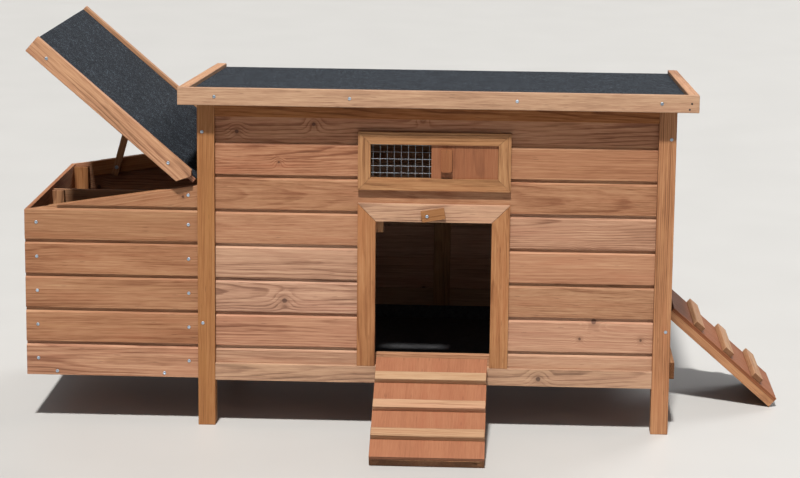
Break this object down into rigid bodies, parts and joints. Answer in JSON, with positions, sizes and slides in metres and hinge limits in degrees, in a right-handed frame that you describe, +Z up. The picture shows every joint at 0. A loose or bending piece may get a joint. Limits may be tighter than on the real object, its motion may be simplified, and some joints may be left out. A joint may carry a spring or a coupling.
{
  "type": "chicken coop",
  "caption": "Small raised wooden hen house with nest box, lifting lid, felt roof, sliding vent, dropping tray and two doors that fold down as ramps.",
  "frame": {"origin": "middle of the footprint of the whole part, on the ground", "axes": "+X to the right seen from the front door, +Y from the front to the back, +Z up"},
  "size_m": [1.8672, 1.1217, 0.9537],
  "materials": {
    "boards": "planed, lightly oiled softwood boards",
    "frame_wood": "planed softwood battens",
    "plywood": "sanded plywood",
    "pale_wood": "bare planed softwood",
    "felt": "dark mineral roofing felt",
    "galvanised": "galvanised steel"
  },
  "bodies": {
    "house": {"back_batten": "frame_wood", "back_cladding": "boards", "back_rails": "frame_wood", "door_sills": "frame_wood", "floor_bearers": "frame_wood", "floor_panel": "plywood", "frame_screws": "galvanised", "front_cladding": "boards", "front_door_frame": "frame_wood", "front_rails": "frame_wood", "front_ramp_hinge_plates": "galvanised", "left_cladding": "boards", "leg_back_left": "frame_wood", "leg_back_right": "frame_wood", "leg_front_left": "frame_wood", "leg_front_right": "frame_wood", "lid_hinge_plates": "galvanised", "nest_back": "boards", "nest_divider": "boards", "nest_end": "boards", "nest_floor": "plywood", "nest_front": "boards", "nest_posts": "frame_wood", "perch_brackets": "frame_wood", "perches": "frame_wood", "right_cladding": "boards", "roof_battens": "frame_wood", "roof_fascia": "frame_wood", "roof_felt": "felt", "roof_panel": "plywood", "side_base_rails": "frame_wood", "side_door_frame": "frame_wood", "side_ramp_hinge_plates": "galvanised", "side_top_rails": "frame_wood", "window_frame": "frame_wood", "window_mesh": "galvanised"},
    "front_ramp": {"front_ramp_panel": "plywood", "front_ramp_frame": "frame_wood", "front_ramp_rungs": "pale_wood", "front_ramp_hinge_leaves": "galvanised"},
    "side_ramp": {"side_ramp_panel": "plywood", "side_ramp_frame": "frame_wood", "side_ramp_rungs": "pale_wood", "side_ramp_hinge_leaves": "galvanised"},
    "nest_lid": {"lid_panel": "plywood", "lid_felt": "felt", "lid_front_fascia": "frame_wood", "lid_back_fascia": "frame_wood", "lid_batten": "frame_wood", "lid_hinge_leaves": "galvanised", "prop_bracket": "galvanised", "lid_screws": "galvanised"},
    "prop_stick": {"lid_prop": "frame_wood", "prop_bolt": "galvanised"},
    "vent": {"vent_slider": "plywood", "vent_knob": "plywood"},
    "front_turn_button": {"front_button": "frame_wood"},
    "side_turn_button": {"side_button": "frame_wood"},
    "tray": {"tray_pan": "galvanised", "tray_front": "frame_wood"}
  },
  "joints": [
    {"name": "front_ramp_hinge", "type": "hinge", "parent": "house", "child": "front_ramp", "pos_m": [0.06291, -0.22978, 0.157], "axis": [-1, 0, 0], "range_deg": [0, 116.9]},
    {"name": "side_ramp_hinge", "type": "hinge", "parent": "house", "child": "side_ramp", "pos_m": [0.64441, 0.18872, 0.2298], "axis": [0, -1, 0], "range_deg": [0, 131]},
    {"name": "nest_lid_hinge", "type": "hinge", "parent": "house", "child": "nest_lid", "pos_m": [-0.51359, 0.11922, 0.5907], "axis": [0, -1, 0], "range_deg": [0, 49.7]},
    {"name": "lid_prop_pivot", "type": "hinge", "parent": "nest_lid", "child": "prop_stick", "pos_m": [-0.73734, 0.42222, 0.77208], "axis": [0, -1, 0], "range_deg": [0, 65.2]},
    {"name": "vent_slide", "type": "slide", "parent": "house", "child": "vent", "axis": [-1, 0, 0], "range_m": [0, 0.146]},
    {"name": "front_button_turn", "type": "hinge", "parent": "house", "child": "front_turn_button", "pos_m": [0.04691, -0.23128, 0.5335], "axis": [0, 1, 0], "range_deg": [0, 100]},
    {"name": "side_button_turn", "type": "hinge", "parent": "house", "child": "side_turn_button", "pos_m": [0.64591, 0.17272, 0.6063], "axis": [-1, 0, 0], "range_deg": [0, 100]},
    {"name": "tray_slide", "type": "slide", "parent": "house", "child": "tray", "axis": [1, 0, 0], "range_m": [0, 0.05]}
  ],
  "couplings": [
    {"joint": "lid_prop_pivot", "follows": "nest_lid_hinge", "ratio": 1.308}
  ]
}
